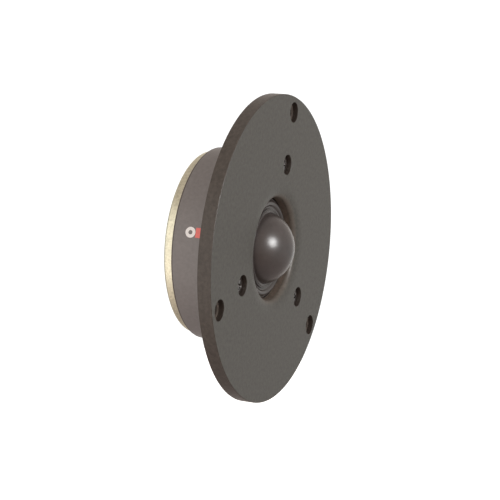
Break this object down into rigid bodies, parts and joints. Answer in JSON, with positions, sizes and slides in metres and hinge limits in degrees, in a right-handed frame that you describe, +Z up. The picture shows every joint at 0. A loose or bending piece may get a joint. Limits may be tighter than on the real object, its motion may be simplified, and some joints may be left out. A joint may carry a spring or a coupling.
{
  "type": "flanged dome tweeter",
  "caption": "Round flanged soft-dome tweeter: recessed dome in a flat screw-down faceplate, ring-magnet motor in a sleeve, and push-on terminals behind the flange.",
  "frame": {"origin": "centre of the flange's rear seating plane, on the driver's axis, where that plane meets the baffle", "axes": "+Y along the driver's axis from the dome to the back plate (sound leaves towards -Y), +Z up through the top screw holes, +X towards the terminals"},
  "size_m": [0.1098, 0.0344, 0.1098],
  "materials": {
    "faceplate_plastic": "matte, fine grained",
    "dome_fabric": "coated, semi-gloss",
    "surround_fabric": "coated, semi-gloss",
    "gasket_foam": "matte foam",
    "ring_plastic": "matte",
    "former_aluminium": "thin foil, satin",
    "coil_copper": "enamelled copper wire",
    "lead_tinsel": "enamelled copper wire",
    "bare_steel": "turned, bare",
    "yellow_zinc_steel": "yellow zinc plated, satin",
    "ferrite": "matte grey-black",
    "felt": "wool felt",
    "sleeve_plastic": "satin",
    "mark_print": "printed, matte",
    "dark_screw_steel": "black oxide",
    "pin_brass": "turned",
    "terminal_plastic": "matte",
    "tinned_brass": "tinned, satin"
  },
  "bodies": {
    "frame": {"faceplate": "faceplate_plastic", "surround": "surround_fabric", "faceplate_gasket": "gasket_foam", "diaphragm_ring": "ring_plastic", "coil_lead_positive": "lead_tinsel", "coil_lead_negative": "lead_tinsel", "locating_pin_1": "pin_brass", "locating_pin_2": "pin_brass", "top_plate": "bare_steel", "magnet": "ferrite", "back_plate": "yellow_zinc_steel", "pole_piece": "bare_steel", "pole_felt_ring": "felt", "chamber_felt": "felt", "magnet_sleeve": "sleeve_plastic", "sleeve_mark": "mark_print", "faceplate_screw_1": "dark_screw_steel", "faceplate_screw_2": "dark_screw_steel", "faceplate_screw_3": "dark_screw_steel", "terminal_block": "terminal_plastic", "terminal_positive": "tinned_brass", "terminal_negative": "tinned_brass", "terminal_block_screw_1": "dark_screw_steel", "terminal_block_screw_2": "dark_screw_steel"},
    "diaphragm": {"dome": "dome_fabric", "coil_former": "former_aluminium", "voice_coil": "coil_copper"}
  },
  "joints": [
    {"name": "diaphragm_slide", "type": "slide", "parent": "frame", "child": "diaphragm", "axis": [0, -1, 0], "range_m": [-0.0005, 0.0005], "stiffness_N_per_m": 6800, "deforming": ["surround", "coil_lead_positive", "coil_lead_negative"]}
  ]
}
